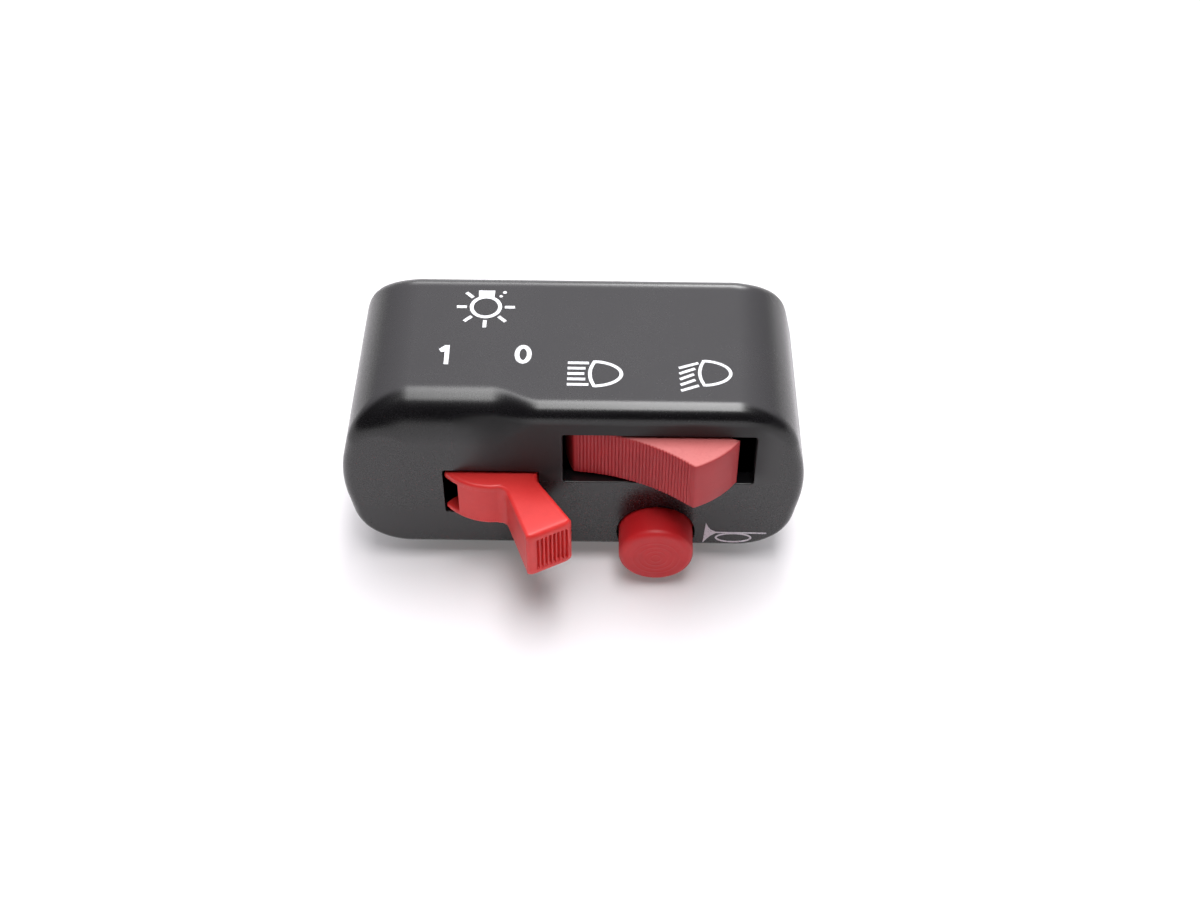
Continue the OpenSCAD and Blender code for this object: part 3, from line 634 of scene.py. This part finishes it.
# dip rocker
rocker = {"x": 11.85, "d": 7.3, "z": 14.25, "h": 8.7, "r": 13.2, "peak": 42.4, "sag": 1.45, "back": 76.8,
          "turn": -21.2, "edge": 0.28, "ridge": 0.22, "ribPitch": 0.5, "ribHigh": 0.1, "ribMargin": 0.5,
          "ribSoft": 0.3}
rockerSteps = {"wing": 200, "face": 900, "even": 1400, "kernel": 40, "edge": 5}


def rockerCurve():
    # end arc, hollow thumb face and end arc, evenly sampled and softened at the two peaks
    r, pk, sag = rocker["r"], math.radians(rocker["peak"]), rocker["sag"]
    px, py = r * math.sin(pk), r * math.cos(pk)
    bow = (px ** 2 + sag ** 2) / (2 * sag)
    wing = np.radians(np.linspace(rocker["back"], rocker["peak"], rockerSteps["wing"]))
    fx = np.linspace(-px, px, rockerSteps["face"])
    fy = -py + sag - bow + np.sqrt(bow ** 2 - fx ** 2)
    run = np.concatenate([np.stack([-r * np.sin(wing), -r * np.cos(wing)], axis=1),
                          np.stack([fx, fy], axis=1)[1:-1],
                          np.stack([r * np.sin(wing[::-1]), -r * np.cos(wing[::-1])], axis=1)])
    step = np.concatenate([[0], np.cumsum(np.hypot(*np.diff(run, axis=0).T))])
    s = np.linspace(0, step[-1], rockerSteps["even"])
    even = np.stack([np.interp(s, step, run[:, 0]), np.interp(s, step, run[:, 1])], axis=1)
    m = rockerSteps["kernel"]
    k = np.arange(-m, m + 1) * (s[1] - s[0])
    g = np.exp(-(k / rocker["ridge"]) ** 2 / 2)
    pad = np.concatenate([2 * even[0] - even[m:0:-1], even, 2 * even[-1] - even[-2:-m - 2:-1]])
    even = np.stack([np.convolve(pad[:, i], g / g.sum(), "valid") for i in (0, 1)], axis=1)
    t = np.gradient(even, axis=0)
    n = np.stack([t[:, 1], -t[:, 0]], axis=1) / np.hypot(*t.T)[:, None]
    lo, hi = np.interp([-px, px], even[:, 0], s)
    margin, soft = rocker["ribMargin"], rocker["ribSoft"]
    inside = smooth((s - lo - margin) / soft) * smooth((hi - margin - s) / soft)
    wave = 0.5 + 0.5 * np.cos(2 * np.pi * (s - s.mean()) / rocker["ribPitch"])
    return even, n, rocker["ribHigh"] * wave * inside


def rockerParts():
    # section from the back plane to the face with rounded front edges, carried along the curve
    face, n, rib = rockerCurve()
    e, h = rocker["edge"], rocker["h"]
    back = np.stack([face[:, 0], np.full(len(face), face[0, 1])], axis=1)
    deep = face - e * n
    turns = quarter(rockerSteps["edge"])

    def outTo(t):
        # share t of the way from under the rounded edge to the ribbed face
        return deep + n * (e * t + rib * t ** 2)[:, None]

    cols = [(back, 0.0), ((back + deep) / 2, 0.0)]
    cols += [(outTo(math.sin(a)), e * (1 - math.cos(a))) for a in turns]
    cols += [(face + n * rib[:, None], h * q) for q in (0.25, 0.5, 0.75)]
    cols += [(outTo(math.cos(a)), h - e * (1 - math.sin(a))) for a in turns]
    cols += [((back + deep) / 2, h), (back, h)]
    p = np.stack([np.stack([xy[:, 0], xy[:, 1], np.full(len(xy), z)], axis=1) for xy, z in cols], axis=1)
    return [surface(p, closeV=True), hubParts(h), barParts(rockerWeb, barGap, h - barGap),
            barParts(tailBar, barGap, h - barGap)]


makePiece("dipRocker", placed(rockerParts(), rocker), "rocker", finishes["rockerRed"],
          ["dip_rocker"], 50)
print("rocker made")

# horn button, its two ears as (z, half height, corner), and its spring
button = {"x": 11.8, "z": 2.94, "r": 5.3, "out": 4.85, "rim": 0.95, "rear": 2.25, "bore": 3.4, "seat": -1.0,
          "broken": 0.2, "rings": (0.75, 1.6, 2.45, 3.3), "ringHigh": 0.045, "ringHalf": 0.15, "crown": 0.16,
          "earHalf": 6.5, "earThick": 1.2, "ear": (3.6, 3.0, 0.5)}
buttonSteps = {"face": 90, "rim": 10, "around": 128, "ear": 8, "hole": 64}
returnSpring = {"r": 2.7, "wire": 0.25, "turns": 5, "push": 2.5, "steps": 180, "section": 12}


def buttonParts():
    # turned about the depth axis: ringed face, rounded rim, straight skirt and spring bore
    r, rim, bore, high = (button[key] for key in ("r", "rim", "bore", "ringHigh"))
    rr = np.linspace(0, r - rim, buttonSteps["face"])
    rings = sum(np.exp(-((rr - q) / button["ringHalf"]) ** 2) for q in button["rings"]) * high
    face = np.stack([rr, -button["out"] + button["crown"] * (rr / r) ** 2 - rings + high], axis=1)
    a = quarter(buttonSteps["rim"])[1:]
    edge = np.stack([r - rim + rim * np.sin(a), face[-1, 1] + rim * (1 - np.cos(a))], axis=1)
    rest = [(r, button["rear"]), (bore, button["rear"]), (bore, button["seat"] + button["broken"]),
            (bore - button["broken"], button["seat"]), (0, button["seat"])]
    p = lathe(np.concatenate([face, edge, rest]), buttonSteps["around"])
    p = np.stack([button["x"] + p[..., 0], p[..., 2], button["z"] + p[..., 1]], axis=-1)
    z, halfZ, corner = button["ear"]
    ear = roundRect(button["x"], z, button["earHalf"], halfZ, corner, buttonSteps["ear"])
    a = np.linspace(0, 2 * np.pi, buttonSteps["hole"], endpoint=False)
    hole = np.stack([button["x"] + bore * np.cos(a), button["z"] + bore * np.sin(a)], axis=1)
    flat, tris = fillLoops([ear, hole])
    d0, d1 = button["rear"], button["rear"] + button["earThick"]
    walls = [surface(np.array([lift(loop, d0), lift(loop, d1)]), closeV=True) for loop in (ear, hole)]
    return [surface(p, closeU=True), (lift(flat, d0), tris), (lift(flat, d1), tris)] + walls


def springParts(d0, d1):
    # round wire along a helix about the depth axis, its ends closed to a point
    wire, t = returnSpring["wire"], np.linspace(0, 1, returnSpring["steps"] + 1)
    turn = 2 * np.pi * returnSpring["turns"] * t
    along = d0 + wire + (d1 - d0 - 2 * wire) * t
    a = np.linspace(0, 2 * np.pi, returnSpring["section"], endpoint=False)
    turn, along = (np.concatenate([v[:1], v, v[-1:]])[:, None] for v in (turn, along))
    thick = wire * np.concatenate([[0], np.ones(len(t)), [0]])[:, None]
    r = returnSpring["r"] + thick * np.cos(a)
    return [surface(np.stack([button["x"] + r * np.cos(turn), along + thick * np.sin(a),
                              button["z"] + r * np.sin(turn)], axis=-1), closeV=True)]


makePiece("hornButton", buttonParts(), "button", finishes["buttonRed"], ["horn_button"], 50)
springLow, springHigh = (np.array(v)[1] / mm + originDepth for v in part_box("horn_return_spring"))
spring = makePiece("hornReturnSpring", springParts(springLow, springHigh), "button", finishes["steel"],
                   ["horn_return_spring"], 60)
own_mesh(spring)
print("button made")

# printed signs: raised a little, and sunk a little so that no gap shows; cross lifts a shape over a stroke
ink = {"thick": 0.03, "sink": 0.01, "cross": 0.006}


def atLevel(flat, h):
    return np.concatenate([flat, np.full((len(flat), 1), h)], axis=1)


def stroke(path, width, closed=False):
    # flat band of even width along a path: left and right edge, face and underside
    p = np.asarray(path, float)
    t = (np.roll(p, -1, 0) - np.roll(p, 1, 0)) if closed else np.gradient(p, axis=0)
    n = np.stack([-t[:, 1], t[:, 0]], axis=1) / np.hypot(*t.T)[:, None] * width / 2
    cols = [(p + n, ink["thick"]), (p - n, ink["thick"]), (p - n, -ink["sink"]), (p + n, -ink["sink"])]
    v, f = surface(np.stack([atLevel(q, h) for q, h in cols], axis=1), closeU=closed, closeV=True)
    if not closed:
        m = 4 * (len(p) - 1)
        f = np.concatenate([f, [[0, 1, 2, 3], [m + 3, m + 2, m + 1, m]]])
    return v, f


def patch(loop, more=0.0):
    # filled flat shape; more lifts it clear of a stroke it crosses
    loop = np.asarray(loop, float)
    flat, tris = fillLoops([loop])
    levels = (ink["thick"] + more, -ink["sink"] - more)
    return [(atLevel(flat, h), tris) for h in levels] + [
        surface(np.array([atLevel(loop, h) for h in levels]), closeV=True)]


def line(a, b):
    return np.linspace(a, b, 2)


def ellipse(cx, cy, rx, ry, n=72):
    a = np.radians(np.linspace(0, 360, n, endpoint=False))
    return np.stack([cx + rx * np.cos(a), cy + ry * np.sin(a)], axis=1)


def onTop(parts):
    # (x, d, height) to the top face
    return [(np.stack([v[:, 0], v[:, 1], shell["height"] + v[:, 2]], axis=1), f) for v, f in parts]


def onFront(parts):
    # (x, z, height) to the front face
    return [(np.stack([v[:, 0], -v[:, 2], v[:, 1]], axis=1), f) for v, f in parts]


lampSign = {"x": -12.66, "d": 20.18, "r": 2.0, "ring": 0.54, "ray": 0.52, "rayFrom": 2.68, "rayTo": 4.1,
            "rays": (0, 180, 225, 270, 315, 135), "cap": (-1.1, 1.1, 1.8, 3.35), "capFlare": 0.06,
            "dots": ((2.05, 2.2, 0.24), (2.55, 3.0, 0.28))}
figureSign = {"one": ((-18.68, 11.72), (-17.83, 12.5), (-17.2, 12.5), (-17.2, 8.82), (-17.83, 8.82),
                      (-17.83, 11.3), (-18.32, 11.12)),
              "zero": (-7.0, 10.9, 0.84, 1.46, 0.66)}
beamSigns = ({"left": (-0.83, -0.80), "low": 5.3, "high": 9.38, "slant": 0.0, "lamp": (2.82, 6.55), "mid": 7.35,
              "half": 2.3, "bar": 0.47, "rim": 0.49},
             {"left": (14.66, 14.40), "low": 5.36, "high": 9.62, "slant": 1.0, "lamp": (17.80, 21.47),
              "mid": 7.72, "half": 2.3, "bar": 0.44, "rim": 0.45})
beamShape = {"bars": 5, "bow": 0.62, "gap": 0.72, "backShift": 0.06, "nose": 1.1}
hornSign = {"bell": ((18.64, 0.75), (18.95, 5.2), (19.3, 4.25), (19.75, 3.6), (20.35, 3.26), (20.35, 2.84),
                     (19.7, 2.3), (19.15, 1.55)),
            "pipe": ((20.2, 3.05), (27.7, 2.98)), "loop": (23.0, 1.9, 2.5, 0.93), "wide": 0.28}


def lampParts():
    # ring, six rays, the worn ray as two dots, and the cap
    x, d = lampSign["x"], lampSign["d"]
    parts = [stroke(ellipse(x, d, lampSign["r"], lampSign["r"]), lampSign["ring"], True)]
    for a in np.radians(lampSign["rays"]):
        way = np.array([math.cos(a), math.sin(a)])
        ray = line((x, d) + lampSign["rayFrom"] * way, (x, d) + lampSign["rayTo"] * way)
        parts.append(stroke(ray, lampSign["ray"]))
    for u, v, size in lampSign["dots"]:
        parts += patch(ellipse(x + u, d + v, size, size, n=20))
    (x0, x1, d0, d1), wider = lampSign["cap"], lampSign["capFlare"]
    return parts + patch([(x + x0, d + d0), (x + x1, d + d0), (x + x1 + wider, d + d1), (x + x0 - wider, d + d1)],
                         ink["cross"])


def figureParts():
    cx, cd, rx, ry, wide = figureSign["zero"]
    return patch(figureSign["one"][::-1]) + [stroke(ellipse(cx, cd, rx, ry), wide, True)]


def beamParts(b):
    # five bars that end along the bowed back of the lamp, and the lamp as half an ellipse closed by that back
    rear = lambda v: b["lamp"][0] - beamShape["bow"] * (1 - v ** 2)
    parts, last = [], beamShape["bars"] - 1
    for i in range(beamShape["bars"]):
        y = b["low"] + (b["high"] - b["low"]) * i / last
        x0 = b["left"][0] + (b["left"][1] - b["left"][0]) * i / last
        parts.append(stroke(line((x0, y - b["slant"]), (rear(2 * i / last - 1) - beamShape["gap"], y)), b["bar"]))
    t = np.radians(np.linspace(-90, 90, 48))
    nose = np.stack([b["lamp"][0] + (b["lamp"][1] - b["lamp"][0]) * np.cos(t) ** beamShape["nose"],
                     b["mid"] + b["half"] * np.sin(t)], axis=1)
    v = np.linspace(1, -1, 20)[1:-1]
    back = np.stack([rear(v) + beamShape["backShift"], b["mid"] + b["half"] * v], axis=1)
    return parts + [stroke(np.concatenate([nose, back]), b["rim"], True)]


def hornParts():
    # flared bell, straight pipe and the loop under it
    wide = hornSign["wide"]
    return patch(hornSign["bell"][::-1], ink["cross"]) + [stroke(line(*hornSign["pipe"]), wide),
                                                         stroke(ellipse(*hornSign["loop"]), wide, True)]


whiteParts = onTop(lampParts() + figureParts() + beamParts(beamSigns[0]) + beamParts(beamSigns[1]))
makePiece("topSigns", whiteParts, "block", finishes["white"], (), 30, False)
makePiece("hornSign", onFront(hornParts()), "block", finishes["grey"], (), 30, False)
print("signs made")

# the pieces inside keep their CAD shape and get a finish by name
replacedNodes = ("housing", "light_lever", "dip_rocker", "horn_button", "horn_return_spring")
steelWords = ("spring", "pin", "ball", "screws")
for name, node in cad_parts.items():
    if name in replacedNodes:
        continue
    kind = "base" if name == "contact_base" else "steel" if any(w in name for w in steelWords) else "brass"
    node.data.materials.clear()
    node.data.materials.append(finishes[kind])
print("inside pieces finished")

# floor: a disc whose rim turns up into a low wall, so that the horizon stays pale from every side;
# it is lifted towards white for the eye, little near the block and fully far away (distances in metres), so the
# floor round the block is darker: painted shade that deepens its shadow
stageLook = {"floorZ": -4.0, "floorR": 2500.0, "wall": 220.0, "white": (0.88, 0.855, 0.88), "liftNear": 0.16,
             "liftFar": 0.55, "nearTo": (0.025, 0.09), "farTo": (0.2, 0.7)}
flat, low = stageLook["floorR"], stageLook["floorZ"]
floorProfile = [(0.001, low), (flat * 0.1, low), (flat, low), (flat, stageLook["wall"])]
pts, quads = surface(lathe(floorProfile, 96), closeU=True)
floorMesh = bpy.data.meshes.new("floor")
floorMesh.from_pydata((pts * mm).tolist(), [], quads.tolist())
floor = bpy.data.objects.new("floor", floorMesh)
bpy.context.scene.collection.objects.link(floor)
pale = Finish("paleFloor")
rays = pale.add("ShaderNodeLightPath", out="Is Camera Ray") \
    + pale.add("ShaderNodeLightPath", out="Is Glossy Ray") \
    + pale.add("ShaderNodeLightPath", out="Is Transmission Ray")
away = pale.add("ShaderNodeVectorMath", {"operation": "LENGTH"}, {0: pale.place()}, "Value")
# little lift near the block keeps the floor there darker: painted shade added to the block's shadow
whiter = stageLook["liftNear"] \
    + pale.fade(away, *stageLook["nearTo"]) * (stageLook["liftFar"] - stageLook["liftNear"]) \
    + pale.fade(away, *stageLook["farTo"]) * (1 - stageLook["liftFar"])
plain = pale.add("ShaderNodeBsdfDiffuse", None, {"Color": (*stageLook["white"], 1)}, "BSDF")
bright = pale.add("ShaderNodeEmission", None, {"Color": (1, 1, 1, 1), "Strength": 1.0}, "Emission")
floorMesh.materials.append(pale.show(
    pale.add("ShaderNodeMixShader", None, {0: rays * whiter, 1: plain, 2: bright}, "Shader")))

# place, aim, size and radiance of each panel: two overhead look straight down, two behind look at the block
lights = {
    "overheadRight": ((0.085, 0.02, 0.75), (0.085, 0.02, 0.01), (0.17, 0.75), 12.8),
    "overheadLeft": ((-0.085, 0.02, 0.75), (-0.085, 0.02, 0.01), (0.17, 0.75), 5.2),
    "behindRight": ((0.16, 0.95, 0.36), (0, 0, 0.01), (0.30, 0.20), 11.0),
    "behindLeft": ((-0.14, 0.95, 0.36), (0, 0, 0.01), (0.30, 0.20), 4.5),
}
for name, (place, aim, size, radiance) in lights.items():
    lamp = bpy.data.lights.new(name, "AREA")
    lamp.shape, lamp.size, lamp.size_y = "RECTANGLE", size[0], size[1]
    lamp.energy = radiance * math.pi * size[0] * size[1]
    panel = bpy.data.objects.new(name, lamp)
    panel.location = place
    panel.rotation_euler = (Vector(aim) - Vector(place)).to_track_quat("-Z", "Y").to_euler()
    bpy.context.scene.collection.objects.link(panel)

# the studio: dark in front, and behind brighter with height
studioLook = {"tint": (0.99, 0.965, 1.02, 1), "front": 0.015, "rear": (-0.1, 0.5), "horizon": 0.5, "high": 1.68,
              "highAt": 0.75}
sky = Finish("studio", bpy.data.worlds, "ShaderNodeOutputWorld")
way = sky.add("ShaderNodeTexCoord", out="Generated")
rear = sky.fade(sky.axis(way, "Y"), *studioLook["rear"])
rise = sky.add("ShaderNodeMapRange", None, {
    "Value": sky.axis(way, "Z"), "From Min": 0.0, "From Max": studioLook["highAt"],
    "To Min": studioLook["horizon"], "To Max": studioLook["high"]}, "Result")
bpy.context.scene.world = sky.show(sky.add("ShaderNodeBackground", None, {
    "Color": studioLook["tint"], "Strength": rear * rise + studioLook["front"]}, "Background"))
bpy.context.scene.view_settings.view_transform = "Standard"
print("stage lit")

print("scene ready")
